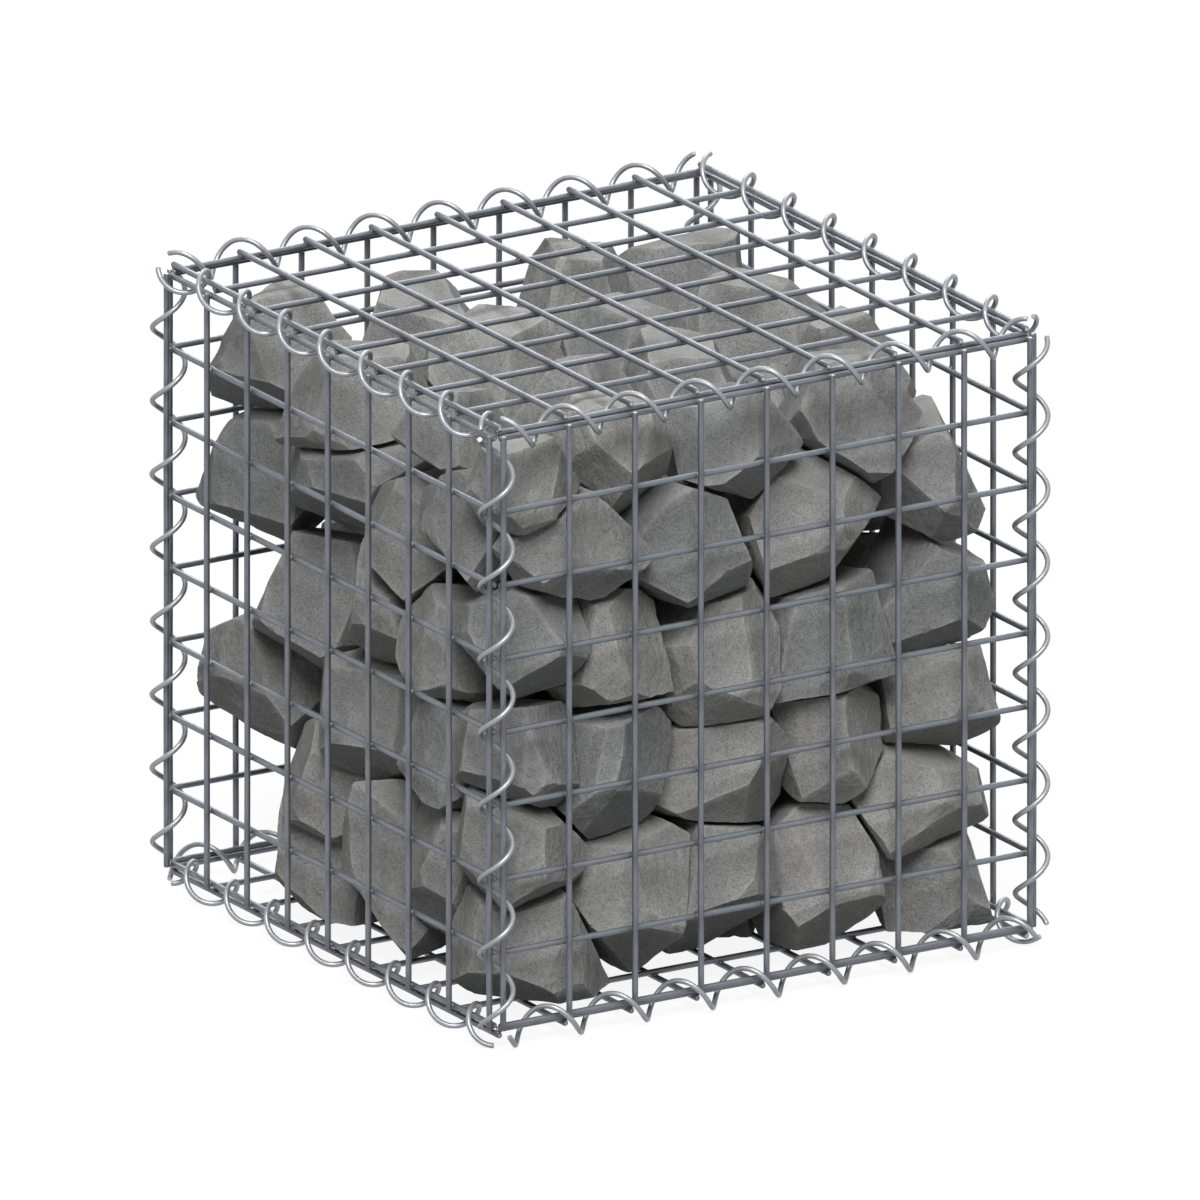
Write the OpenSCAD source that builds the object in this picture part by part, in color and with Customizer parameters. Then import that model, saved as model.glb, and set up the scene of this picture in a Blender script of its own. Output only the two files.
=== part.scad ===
// Gabion basket: six welded mesh panels laced together with spiral binders round a fill of stones.
//
// Frame: +Z up, the origin is on the ground under the middle of the basket. The front is -Y,
// the left side is -X. Every dimension is in millimetres.

/* [Mesh panels] */
// Mesh size, from one wire's middle to the next
cell = 50; // [45:5:55]
// Cells along each edge of the basket
cells = 8; // [6:1:10]
// Thickness of the mesh wires
wire_d = 4; // [3:0.5:5]
// How far two crossing wires sink into each other at a weld
weld_sink = 0.3; // [0.2:0.1:0.5]
// Distance of the inner wires' middle outside the nominal cube
inner_offset = 2.9; // [2.8:0.1:3.4]

/* [Spiral binders] */
// Thickness of the spiral wire
spiral_wire_d = 3.5; // [3:0.5:4]
// Radius of the spiral at the middle of its wire
spiral_r = 10.7; // [10:0.1:12]
// Distance of a spiral's own axis outside the nominal cube, both ways
spiral_offset = 3.1; // [2.5:0.1:4]

/* [Stone fill] */
// How far the fill stays inside the nominal cube at the sides
side_gap = 5; // [4:1:10]
// How far the tops of the highest stones stay under the nominal cube's top
top_gap = 5; // [4:1:30]
// Nearest that a broken face comes to a stone's middle, in a basket of 400
stone_least = 34; // [30:1:40]
// Furthest that a broken face lies from a stone's middle, in a basket of 400
stone_most = 54; // [50:1:64]
// How far a stone inside the fill may sit from its place in a regular stack, in a basket of 400
scatter = 13; // [0:1:16]
// Gap between two stones that lie against each other
joint = 1.2; // [0.8:0.1:3]
// Seed that chooses the stones' broken faces
stone_seed = 31; // [1:1:99]

/* [Hidden] */

// Half the nominal cube, from the middle of one outermost wire to the middle of the opposite one.
half = cells * cell / 2;
// A wire is drawn as an octagon of the same cross-section area as the round wire.
octagon_r = wire_d / 2 * sqrt(PI / (4 * sin(45)));
outer_offset = inner_offset + wire_d - weld_sink;
// Wires end almost flush with the wires they are welded to.
inner_end = 0.7;
upright_end = 2;
lid_wire_end = 2.5;
// A spiral has six sides and ten rings a turn, and one turn in every cell.
spiral_sides = 6;
rings_per_turn = 10;
hexagon_r = spiral_wire_d / 2 * sqrt(PI / (3 * sin(60)));
spiral_axis = half + spiral_offset;
// The basket stands on the lowest line of its bottom spirals.
lift = spiral_axis + spiral_r + spiral_wire_d / 2;
// Limits of the fill, measured from the basket's middle.
side_limit = half - side_gap;
floor_z = -half - inner_offset + wire_d / 2 + 0.2;
top_z = half - top_gap;
// Stones stay clear of a spiral by this much.
spiral_room = 1.5;
edge_limit = (spiral_axis * 2) / sqrt(2) - spiral_r - spiral_wire_d / 2 - spiral_room;
// The stones and their places grow and shrink with the basket.
fill_scale = half / 200;
least = fill_scale * stone_least;
most = fill_scale * stone_most;
// Two stones further apart than this never touch, and a block this large is cut down to a stone.
far = fill_scale * 150;
// Broken faces of a stone, besides those that it turns to its neighbours and to the mesh.
broken_faces = 5;
// How far the peak of an outer face lies from its middle, and how much its faces may turn round
// the peak.
peak_shift = fill_scale * 16;
peak_turn = 60;
// The steepest slopes of an underside and of the other faces, and how far under the peak an
// underside starts.
underside_slope = 1.4;
peak_slope = 0.75;
underside_drop = fill_scale * 12;
// How far from the peak the other faces may start.
peak_reach = fill_scale * 0;
// A top stone's flat face: how far it may stay under the highest, how much it may lean, how far
// it reaches, and the steepest slope of the faces round it.
cap_drop = fill_scale * 16;
cap_lean = 0.2;
cap_reach = fill_scale * 31;
cap_slope = 3;
// How far the joint between two stones may lean.
joint_lean = 0.3;

// Middles of the stones that lie against the front and left panels and the corner between them,
// from the basket's middle, in a basket of 400. One row for each course, from the ground up. The
// top course ends with three along the back, whose tops show over the others.
facing = [
    [
        [-152, -150, -158], [-80, -150, -134], [-8, -152, -143], [65, -148, -150], [162, -150, -160],
        [-150, -92, -132], [-152, -22, -138], [-150, 80, -162]
    ],
    [
        [-164, -160, -98], [-158, -156, -35], [-97, -150, -55], [-5, -148, -70], [74, -150, -58],
        [160, -150, -52], [142, -152, -112], [-150, -76, -45], [-150, 22, -58], [-158, 164, -64],
        [-152, 62, -118]
    ],
    [
        [-156, -154, 40], [-92, -150, 28], [-8, -150, 10], [58, -148, -2], [156, -150, 15],
        [-152, -78, 22], [-150, 2, 22], [-150, 90, 6]
    ],
    [
        [-128, -160, 112], [-36, -150, 92], [62, -150, 88], [162, -150, 105],
        [-164, -112, 110], [-150, -40, 86], [-150, 52, 94], [-154, 160, 68]
    ],
    [
        [-156, -158, 154], [-82, -150, 156], [2, -150, 150], [98, -148, 153],
        [-150, -62, 158], [-150, 50, 154], [-156, 158, 158],
        [-52, 140, 158], [72, 146, 166], [162, 142, 160]
    ]
];
// Places along the sides that the fill leaves empty.
hollows = [[172, -170, 178], [-165, 200, 0], [-160, 180, -130], [-160, 190, -180]];
// The stones behind them are stacked three by three in every course, at these places and heights,
// less the top course's back row.
core_places = [-56, 42, 140];
core_heights = [-154, -78, 4, 82, 158];

steel = "slategray";
spiral_steel = "lightsteelblue";
rock = "gray";

// ---- Welded mesh panels ----

// One straight wire along +Z, with flats facing the sides, from low to high.
module wire(low, high) {
    translate([0, 0, low])
        rotate([0, 0, 22.5])
            cylinder(h = high - low, r = octagon_r, $fn = 8);
}

// A flat panel in the XY plane. Rails run along X at height z = inner_offset from the nominal
// cube, and cross wires run along Y on top of them, outside.
module mesh_panel(cross_end) {
    color(steel)
        union() {
            for (n = [0 : cells]) {
                translate([0, -half + n * cell, inner_offset])
                    rotate([0, 90, 0])
                        wire(-half - inner_end, half + inner_end);
                translate([-half + n * cell, 0, outer_offset])
                    rotate([-90, 0, 0])
                        wire(-half - cross_end, half + cross_end);
            }
        }
}

// Side panels stand with their cross wires upright.
module side_panel(turn) {
    translate([0, 0, lift])
        rotate([0, 0, turn])
            translate([0, -half, 0])
                rotate([90, 0, 0])
                    mesh_panel(upright_end);
}

module front_panel() side_panel(0);
module right_panel() side_panel(90);
module back_panel() side_panel(180);
module left_panel() side_panel(270);

module top_panel() {
    translate([0, 0, lift + half])
        mesh_panel(lid_wire_end);
}

module bottom_panel() {
    translate([0, 0, lift - half])
        mirror([0, 0, 1])
            mesh_panel(lid_wire_end);
}

// ---- Spiral binders ----

// A right-handed spiral round the Z axis from -half to +half, whose ends stand at angle phase.
// Each ring of the sweep lies across the wire, along the radius and along the binormal.
module spiral(phase) {
    turns = cells;
    rings = turns * rings_per_turn;
    slope = atan2(cell, 2 * PI * spiral_r);
    points = [
        for (n = [0 : rings])
            let (a = phase + n * 360 / rings_per_turn, z = -half + n * cell / rings_per_turn)
                for (s = [0 : spiral_sides - 1])
                    let (
                        b = s * 360 / spiral_sides,
                        out = hexagon_r * cos(b),
                        up = hexagon_r * sin(b)
                    )
                        [
                            (spiral_r + out) * cos(a) + up * sin(slope) * sin(a),
                            (spiral_r + out) * sin(a) - up * sin(slope) * cos(a),
                            z + up * cos(slope)
                        ]
    ];
    sides = [
        for (n = [0 : rings - 1])
            for (s = [0 : spiral_sides - 1])
                let (
                    next = (s + 1) % spiral_sides,
                    low = n * spiral_sides,
                    high = low + spiral_sides
                )
                    each [[low + s, high + s, high + next], [low + s, high + next, low + next]]
    ];
    start = [for (s = [0 : spiral_sides - 1]) s];
    finish = [for (s = [spiral_sides - 1 : -1 : 0]) rings * spiral_sides + s];
    color(spiral_steel)
        polyhedron(points = points, faces = concat(sides, [start], [finish]));
}

// Spirals along X: the angle is measured from +Y towards +Z.
module spiral_along_x(y, z, phase) {
    translate([0, y * spiral_axis, lift + z * spiral_axis])
        multmatrix([[0, 0, 1, 0], [1, 0, 0, 0], [0, 1, 0, 0]])
            spiral(phase);
}

// Spirals along Y: the angle is measured from +Z towards +X.
module spiral_along_y(x, z, phase) {
    translate([x * spiral_axis, 0, lift + z * spiral_axis])
        multmatrix([[0, 1, 0, 0], [0, 0, 1, 0], [1, 0, 0, 0]])
            spiral(phase);
}

// Spirals along Z: the angle is measured from +X towards +Y.
module spiral_along_z(x, y, phase) {
    translate([x * spiral_axis, y * spiral_axis, lift])
        spiral(phase);
}

module top_front_spiral() spiral_along_x(-1, 1, 90);
module top_back_spiral() spiral_along_x(1, 1, 58);
module bottom_front_spiral() spiral_along_x(-1, -1, 185);
module bottom_back_spiral() spiral_along_x(1, -1, -70);
module top_left_spiral() spiral_along_y(-1, 1, -69);
module top_right_spiral() spiral_along_y(1, 1, 18);
module bottom_left_spiral() spiral_along_y(-1, -1, 180);
module bottom_right_spiral() spiral_along_y(1, -1, 126);
module front_left_spiral() spiral_along_z(-1, -1, 148);
module front_right_spiral() spiral_along_z(1, -1, -11);
module back_left_spiral() spiral_along_z(-1, 1, 48);
module back_right_spiral() spiral_along_z(1, 1, 48);

// ---- Stone fill ----

// Stones of a course that don't show from the front or the left.
function core_stones(k) = [
    for (i = [0 : 2])
        for (j = [0 : k == len(facing) - 1 ? 1 : 2])
            [core_places[i], core_places[j], core_heights[k]]
            + rands(-scatter, scatter, 3, stone_seed + 100 * k + 10 * i + j)
];

courses = [for (k = [0 : len(facing) - 1]) fill_scale * concat(facing[k], core_stones(k))];
places = concat(fill_scale * hollows, [for (course = courses) each course]);

// A plane is [outward normal, distance from the stone's middle].
function unit(v) = v / norm(v);

// A seed of its own for each stone.
function stone_number(m) = stone_seed + round(abs(7 * m[0] + 131 * m[1] + 1009 * m[2]));

// A plane halfway to each neighbouring place, less half of the joint. It leans by a chance that
// the two places share, and opposite ways for the two, so that their stones never cross.
function neighbour_planes(m) = [
    for (other = places)
        let (gap = other - m, distance = norm(gap))
            if (distance > 0 && distance < far)
                let (
                    chance = rands(-1, 1, 3, stone_number((m + other) / 2)),
                    side = sign(gap * [1, 0.4, 0.2]),
                    way = unit(gap / distance + side * joint_lean * chance)
                )
                    [way, (way * gap - joint) / 2]
];

// The fill's flat limits, each as [outward normal, distance from the basket's middle]: the four
// walls, the floor and the top.
flat_limits = [
    for (axis = [0 : 2])
        for (side = [-1, 1])
            let (normal = [for (n = [0 : 2]) n == axis ? side : 0])
                [normal, axis < 2 ? side_limit : (side < 0 ? -floor_z : top_z)]
];

// A slanting limit along every edge that has a spiral.
edge_limits = [
    for (p = [-sqrt(0.5), sqrt(0.5)])
        for (q = [-sqrt(0.5), sqrt(0.5)])
            each [[[p, q, 0], edge_limit], [[p, 0, q], edge_limit], [[0, p, q], edge_limit]]
];

// Limits that are near enough to a stone to cut it, as planes from the stone's middle.
function limit_planes(m) = [
    for (limit = concat(flat_limits, edge_limits))
        let (distance = limit[1] - m * limit[0])
            if (distance < far)
                [limit[0], distance]
];

// Where a stone meets a wall or the top of the fill, three faces slope away from one peak there.
// On a wall the first of them is the underside, which starts lower and slopes most.
function peak_planes(m) = [
    for (n = [0 : len(flat_limits) - 1])
        let (normal = flat_limits[n][0], distance = flat_limits[n][1] - m * normal)
            if (distance < most && normal[2] == 0)
                let (
                    chance = rands(0, 1, 11, stone_number(m) + n),
                    upward = [0, 0, 1],
                    sideways = cross(normal, upward),
                    shift = peak_shift * [2 * chance[0] - 1, 2 * chance[1] - 1],
                    peak = distance * normal + shift[0] * upward + shift[1] * sideways
                )
                    for (side = [0 : 2])
                        let (
                            turn = 180 + 120 * side + peak_turn * (chance[2 + side] - 0.5),
                            under = side == 0,
                            steepest = under ? underside_slope : peak_slope,
                            slope = steepest * (0.4 + 0.6 * chance[5 + side]),
                            out = cos(turn) * upward + sin(turn) * sideways,
                            way = unit(normal + slope * out),
                            reach = under ? underside_drop : peak_reach * chance[8 + side]
                        )
                            [way, way * (peak + reach * out)]
];

// A stone on top of the fill ends in a flat face at a height of its own, and four steeper faces
// fall away round it.
function cap_planes(m) =
    let (distance = top_z - m[2])
        distance > most ? [] :
        let (
            chance = rands(0, 1, 16, stone_number(m) + 4),
            height = distance - cap_drop * chance[0],
            lean = cap_lean * [2 * chance[1] - 1, 2 * chance[2] - 1, 0]
        )
            concat(
                [[unit([0, 0, 1] + lean), height]],
                [
                    for (side = [0 : 3])
                        let (
                            turn = 90 * (side + chance[3]) + peak_turn * (chance[4 + side] - 0.5),
                            out = [cos(turn), sin(turn), 0],
                            way = unit([0, 0, 1] + cap_slope * (0.4 + 0.6 * chance[8 + side]) * out),
                            reach = cap_reach * (0.35 + 0.65 * chance[12 + side])
                        )
                            [way, way * (height * [0, 0, 1] + reach * out)]
                ]
            );

// Broken faces in evenly spread directions, each at a distance of its own.
function broken_planes(m) =
    let (chance = rands(0, 1, 3 * broken_faces + 1, stone_number(m)))
        [
            for (n = [0 : broken_faces - 1])
                let (
                    z = 1 - 2 * (n + chance[3 * n]) / broken_faces,
                    turn = n * 137.5 + 40 * chance[3 * n + 1] + 360 * chance[3 * broken_faces],
                    across = sqrt(1 - z * z)
                )
                    [
                        [across * cos(turn), across * sin(turn), z],
                        least + (most - least) * chance[3 * n + 2]
                    ]
        ];

// Everything on the inner side of a plane, as one large block.
module inner_side(plane) {
    n = plane[0];
    rotate([0, acos(n[2]), atan2(n[1], n[0])])
        translate([-far, -far, plane[1] - 2 * far])
            cube(2 * far);
}

module stone(m) {
    planes = concat(
        limit_planes(m), peak_planes(m), cap_planes(m), neighbour_planes(m), broken_planes(m)
    );
    translate(m)
        intersection_for (plane = planes)
            inner_side(plane);
}

module stone_course(k) {
    color(rock)
        translate([0, 0, lift])
            for (m = courses[k])
                stone(m);
}

module stone_course_1() stone_course(0);
module stone_course_2() stone_course(1);
module stone_course_3() stone_course(2);
module stone_course_4() stone_course(3);
module stone_course_5() stone_course(4);

front_panel();
back_panel();
left_panel();
right_panel();
top_panel();
bottom_panel();
top_front_spiral();
top_back_spiral();
bottom_front_spiral();
bottom_back_spiral();
top_left_spiral();
top_right_spiral();
bottom_left_spiral();
bottom_right_spiral();
front_left_spiral();
front_right_spiral();
back_left_spiral();
back_right_spiral();
stone_course_1();
stone_course_2();
stone_course_3();
stone_course_4();
stone_course_5();
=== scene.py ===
# %% [markdown]
# # A stone-filled gabion basket
# A gabion is a cage of welded steel mesh filled with broken stone. The frame already holds its
# plain solids: six mesh panels, twelve spiral binders and five courses of stones. This file gives
# each of them its real surface: round drawn wire with welds, coiled wire with cut ends, and rough
# quarry stone.

# %% Load the frame
import math

import bpy
import numpy as np
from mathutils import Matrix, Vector


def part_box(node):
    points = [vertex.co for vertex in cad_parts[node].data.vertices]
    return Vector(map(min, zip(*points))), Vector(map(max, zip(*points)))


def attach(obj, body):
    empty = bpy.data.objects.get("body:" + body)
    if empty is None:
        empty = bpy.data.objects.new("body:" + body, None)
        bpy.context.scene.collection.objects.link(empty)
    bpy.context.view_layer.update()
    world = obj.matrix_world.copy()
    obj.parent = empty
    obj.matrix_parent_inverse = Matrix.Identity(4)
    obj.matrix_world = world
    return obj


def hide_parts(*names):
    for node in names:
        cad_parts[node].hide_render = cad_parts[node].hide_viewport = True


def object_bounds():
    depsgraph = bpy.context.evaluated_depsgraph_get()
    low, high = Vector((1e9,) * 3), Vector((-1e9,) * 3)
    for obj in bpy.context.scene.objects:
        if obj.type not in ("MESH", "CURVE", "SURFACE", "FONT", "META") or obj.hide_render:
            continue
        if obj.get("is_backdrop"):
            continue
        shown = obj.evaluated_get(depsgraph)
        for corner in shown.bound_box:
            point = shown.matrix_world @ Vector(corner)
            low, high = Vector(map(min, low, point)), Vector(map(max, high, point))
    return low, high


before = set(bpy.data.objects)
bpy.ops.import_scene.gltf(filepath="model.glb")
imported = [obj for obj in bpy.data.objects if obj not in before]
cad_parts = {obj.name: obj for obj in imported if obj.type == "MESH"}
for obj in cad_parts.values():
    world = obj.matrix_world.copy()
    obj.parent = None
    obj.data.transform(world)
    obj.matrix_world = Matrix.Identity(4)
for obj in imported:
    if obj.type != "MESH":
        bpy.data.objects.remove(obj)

scene = bpy.context.scene
cad_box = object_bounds()
print("frame box, lowest and highest corner:", [list(corner) for corner in cad_box])

# %% [markdown]
# ## The basket's measures
# The mesh has square cells, and everything on the basket repeats with them. The middle of the
# cube comes from the boxes of two panels, so that nothing has to be fitted by eye. The two layers
# of wire in a panel lie at set distances outside the nominal cube.

# %% Name the measures
CELL = 0.05
CELLS = 8
HALF = CELL * CELLS / 2
WIRE_RADIUS = 0.002
SPIRAL_WIRE_RADIUS = 0.00175
SPIRAL_RADIUS = 0.0107
INNER_LAYER = HALF + 0.0029
OUTER_LAYER = HALF + 0.0066
# How far the wires of each layer run past the wires that they are welded to.
INNER_END = 0.0007
UPRIGHT_END = 0.002
LID_END = 0.0025

MIDDLE = np.mean([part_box("left_panel")[0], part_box("right_panel")[1]], axis=0)
print("middle of the cube:", MIDDLE.round(5))

# %% [markdown]
# ## Camera
# The basket is seen from the front and the left, a little from above. A parallel view keeps all
# the wires of one layer parallel in the picture, so the camera is orthographic.

# %% Place the camera
VIEW_AZIMUTH = math.radians(-31.5)
VIEW_ELEVATION = math.radians(18.0)
VIEW_WIDTH = 0.777
VIEW_DISTANCE = 3.0

toward_camera = Vector((
    math.sin(VIEW_AZIMUTH) * math.cos(VIEW_ELEVATION),
    -math.cos(VIEW_AZIMUTH) * math.cos(VIEW_ELEVATION),
    math.sin(VIEW_ELEVATION),
))
camera = bpy.data.objects.new("camera", bpy.data.cameras.new("camera"))
camera.data.type = "ORTHO"
camera.data.ortho_scale = VIEW_WIDTH
camera.location = Vector(MIDDLE) + VIEW_DISTANCE * toward_camera
camera.rotation_euler = (-toward_camera).to_track_quat("-Z", "Y").to_euler()
scene.collection.objects.link(camera)
scene.camera = camera
print("camera at", [round(value, 3) for value in camera.location])

# %% [markdown]
# ## Node helpers
# A material is a tree of nodes. These helpers make a node, set its inputs and link it in one
# line, so that each recipe below reads from top to bottom like a list of steps.

# %% Helpers for node trees


def add_node(tree, kind, links=None, **settings):
    """A new node in tree. settings are its properties; links maps an input's name or number to a
    value or to another node's output."""
    node = tree.nodes.new(kind)
    for name, value in settings.items():
        setattr(node, name, value)
    for key, value in (links or {}).items():
        if isinstance(value, bpy.types.NodeSocket):
            tree.links.new(value, node.inputs[key])
        else:
            node.inputs[key].default_value = value
    return node


def mix_colors(tree, factor, first, second, blend="MIX"):
    """The colour between first and second that factor picks, from 0 to 1."""
    node = add_node(tree, "ShaderNodeMix", {0: factor, 6: first, 7: second},
                    data_type="RGBA", blend_type=blend)
    return node.outputs[2]


def calculate(tree, operation, first, second=0.0, third=0.0, clamp=False):
    """The result of one Math node."""
    node = add_node(tree, "ShaderNodeMath", {0: first, 1: second, 2: third}, operation=operation)
    node.use_clamp = clamp
    return node.outputs[0]


def remap(tree, value, low, high, new_low=0.0, new_high=1.0):
    """value spread from low..high to new_low..new_high, smoothly and with no overshoot."""
    links = {"Value": value, "From Min": low, "From Max": high,
             "To Min": new_low, "To Max": new_high}
    return add_node(tree, "ShaderNodeMapRange", links, interpolation_type="SMOOTHSTEP").outputs[0]


def new_group(name, inputs, outputs):
    """A shader node group. inputs maps a socket's name to (type, default)."""
    group = bpy.data.node_groups.new(name, "ShaderNodeTree")
    for socket, (kind, default) in inputs.items():
        made = group.interface.new_socket(socket, in_out="INPUT", socket_type=kind)
        if default is not None:
            made.default_value = default
    for socket, kind in outputs.items():
        group.interface.new_socket(socket, in_out="OUTPUT", socket_type=kind)
    start = group.nodes.new("NodeGroupInput")
    end = group.nodes.new("NodeGroupOutput")
    return group, start.outputs, end.inputs


def place_group(tree, group, links):
    """The outputs of a copy of group placed in tree with its own input values."""
    return add_node(tree, "ShaderNodeGroup", links, node_tree=group).outputs


FLOAT = "NodeSocketFloat"
VECTOR = "NodeSocketVector"
print("node helpers ready")

# %% [markdown]
# ## Shared effects
# Both zinc and stone are blotchy at the scale of a hand and speckled at the scale of a grain,
# and dust from the stones settles on whatever faces up. Each of these effects is used by more
# than one material, so each is a node group, built once and placed with its own values.

# %% Group: blotches


def make_blotches():
    """Soft light and dark areas: two layers of noise, the second four times finer."""
    group, given, result = new_group(
        "blotches",
        {"Place": (VECTOR, None), "Size": (FLOAT, 0.03), "Contrast": (FLOAT, 1.0)},
        {"Blotch": FLOAT},
    )
    scale = calculate(group, "DIVIDE", 1.0, given["Size"])
    wide = add_node(group, "ShaderNodeTexNoise", {"Vector": given["Place"], "Scale": scale,
                                                 "Detail": 3.0, "Roughness": 0.55})
    finer = calculate(group, "MULTIPLY", scale, 4.0)
    small = add_node(group, "ShaderNodeTexNoise", {"Vector": given["Place"], "Scale": finer,
                                                  "Detail": 4.0, "Roughness": 0.6})
    both = calculate(group, "MULTIPLY_ADD", small.outputs[0], 0.45,
                     calculate(group, "MULTIPLY", wide.outputs[0], 0.55))
    spread = calculate(group, "MULTIPLY_ADD", calculate(group, "SUBTRACT", both, 0.5),
                       calculate(group, "MULTIPLY", given["Contrast"], 2.2), 0.5, clamp=True)
    group.links.new(spread, result["Blotch"])
    return group


blotches = make_blotches()
print("group", blotches.name, "has", len(blotches.nodes), "nodes")

# %% Group: grain


def make_grain():
    """Fine grains: an even light and dark tone, small dark pits, and a height for bump."""
    group, given, result = new_group(
        "grain",
        {"Place": (VECTOR, None), "Size": (FLOAT, 0.001), "Pit amount": (FLOAT, 0.5)},
        {"Tone": FLOAT, "Pits": FLOAT, "Height": FLOAT},
    )
    scale = calculate(group, "DIVIDE", 1.0, given["Size"])
    fine = add_node(group, "ShaderNodeTexNoise", {"Vector": given["Place"], "Scale": scale,
                                                 "Detail": 2.0, "Roughness": 0.7})
    coarse = add_node(group, "ShaderNodeTexNoise",
                      {"Vector": given["Place"], "Scale": calculate(group, "MULTIPLY", scale, 0.3),
                       "Detail": 5.0, "Roughness": 0.65})
    pits = calculate(group, "MULTIPLY", remap(group, fine.outputs[0], 0.56, 0.72),
                     given["Pit amount"])
    tone = remap(group, calculate(group, "MULTIPLY_ADD", coarse.outputs[0], 0.2,
                                  calculate(group, "MULTIPLY", fine.outputs[0], 0.8)),
                 0.36, 0.64)
    height = calculate(group, "MULTIPLY_ADD", fine.outputs[0], -0.45, coarse.outputs[0])
    group.links.new(tone, result["Tone"])
    group.links.new(pits, result["Pits"])
    group.links.new(height, result["Height"])
    return group


grain = make_grain()
print("group", grain.name, "has", len(grain.nodes), "nodes")

# %% Group: settled dust


def make_dust():
    """A mask that is strongest on faces that look up, broken up by noise."""
    group, given, result = new_group(
        "dust",
        {"Place": (VECTOR, None), "Amount": (FLOAT, 0.4), "Start": (FLOAT, 0.35)},
        {"Dust": FLOAT},
    )
    facing = add_node(group, "ShaderNodeNewGeometry").outputs["Normal"]
    upward = add_node(group, "ShaderNodeSeparateXYZ", {0: facing}).outputs["Z"]
    noise = add_node(group, "ShaderNodeTexNoise", {"Vector": given["Place"], "Scale": 120.0,
                                                  "Detail": 4.0, "Roughness": 0.6})
    reach = calculate(group, "ADD", given["Start"], 0.55)
    lying = remap(group, upward, given["Start"], reach)
    broken = remap(group, noise.outputs[0], 0.3, 0.65, 0.45, 1.0)
    amount = calculate(group, "MULTIPLY", lying, given["Amount"])
    group.links.new(calculate(group, "MULTIPLY", amount, broken), result["Dust"])
    return group


dust = make_dust()
print("group", dust.name, "has", len(dust.nodes), "nodes")

# %% [markdown]
# ## Galvanised wire
# The panels are of drawn wire with a coat of zinc. Zinc weathers to a dull blue grey, with faint
# slanting streaks from the drawing and from handling. Beside each weld the colour is painted
# darker:
# partly zinc burnt by the weld, partly painted shade where the two wires cross. Its oxide is dull,
# so the wire counts as only partly metal. The streaks are noise that is long along the wire: they
# read an attribute that every wire carries, its own place in metres along and across the wire. The
# spirals are the same metal, but newer and brighter.

# %% Material: galvanised wire
WIRE_ROUGHNESS = 0.42
STREAK_STRENGTH = 0.15


def make_wire_material(name, dark, light, weld_burn_and_shade):
    """Zinc-coated wire from dark to light grey. The last argument is how much of the dark weld
    colour
    shows at a weld: burnt zinc, and painted shade where the wires cross."""
    material = bpy.data.materials.new(name)
    material.use_nodes = True
    tree = material.node_tree
    shader = tree.nodes["Principled BSDF"]
    place = add_node(tree, "ShaderNodeAttribute", attribute_name="wire_place").outputs["Vector"]
    weld = add_node(tree, "ShaderNodeAttribute", attribute_name="weld").outputs["Fac"]
    cut = add_node(tree, "ShaderNodeAttribute", attribute_name="cut").outputs["Fac"]

    streaked = add_node(tree, "ShaderNodeMapping",
                        {"Vector": place, "Rotation": (0.0, 0.0, 0.35), "Scale": (0.12, 1.0, 1.0)})
    streaks = add_node(tree, "ShaderNodeTexNoise",
                       {"Vector": streaked.outputs[0], "Scale": 1400.0, "Detail": 3.0,
                        "Roughness": 0.6})
    clouds = place_group(tree, blotches, {"Place": place, "Size": 0.018, "Contrast": 0.4})
    specks = place_group(tree, grain, {"Place": place, "Size": 0.0006})
    settled = place_group(tree, dust, {"Place": place, "Amount": 0.10, "Start": 0.2})

    zinc = mix_colors(tree, clouds["Blotch"], (*dark, 1.0), (*light, 1.0))
    lined = mix_colors(tree, remap(tree, streaks.outputs[0], 0.42, 0.66, 0.0, 0.22),
                       zinc, tuple(0.55 * value for value in dark) + (1.0,))
    # Near black at each weld: burnt zinc, and painted shade where the wires cross.
    burnt_and_shaded = mix_colors(tree, calculate(tree, "MULTIPLY", weld, weld_burn_and_shade), lined,
                       (0.06, 0.062, 0.068, 1.0))
    bare = mix_colors(tree, cut, burnt_and_shaded, (0.72, 0.73, 0.75, 1.0))
    dusty = mix_colors(tree, settled["Dust"], bare, (0.42, 0.41, 0.39, 1.0))
    tree.links.new(dusty, shader.inputs["Base Color"])

    rough = remap(tree, streaks.outputs[0], 0.35, 0.7,
                  WIRE_ROUGHNESS - 0.07, WIRE_ROUGHNESS + 0.1)
    smoother = calculate(tree, "MULTIPLY_ADD", cut, -0.12, rough)
    tree.links.new(smoother, shader.inputs["Roughness"])
    metallic = remap(tree, settled["Dust"], 0.0, 0.4, 0.6, 0.4)
    tree.links.new(metallic, shader.inputs["Metallic"])

    height = calculate(tree, "MULTIPLY_ADD", specks["Height"], 0.5, streaks.outputs[0])
    bump = add_node(tree, "ShaderNodeBump", {"Height": height, "Strength": STREAK_STRENGTH,
                                             "Distance": 0.0002})
    tree.links.new(bump.outputs[0], shader.inputs["Normal"])
    return material


# The mesh wire is painted darker at its welds, as burnt zinc and as painted shade at the
# crossings; the spirals are not.
mesh_wire = make_wire_material("galvanised mesh wire", (0.150, 0.167, 0.190),
                               (0.220, 0.242, 0.271), weld_burn_and_shade=0.4)
spiral_wire = make_wire_material("galvanised spiral wire", (0.26, 0.275, 0.295),
                                 (0.38, 0.40, 0.43), weld_burn_and_shade=0.0)
print("wire materials:", mesh_wire.name, "and", spiral_wire.name)

# %% [markdown]
# ## Broken stone
# Quarry stone is one colour from afar, but every stone is a shade warmer or cooler than the
# next, broken faces are mottled and full of dark grains, arrises are paler, partly as bruised
# stone and partly as a painted highlight, and the tops are dusty. The shade comes from an
# attribute with one value for a whole stone, and the paler arrises from another that is 1 on an
# arris and fades over a few millimetres.

# %% Material: broken stone


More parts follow.
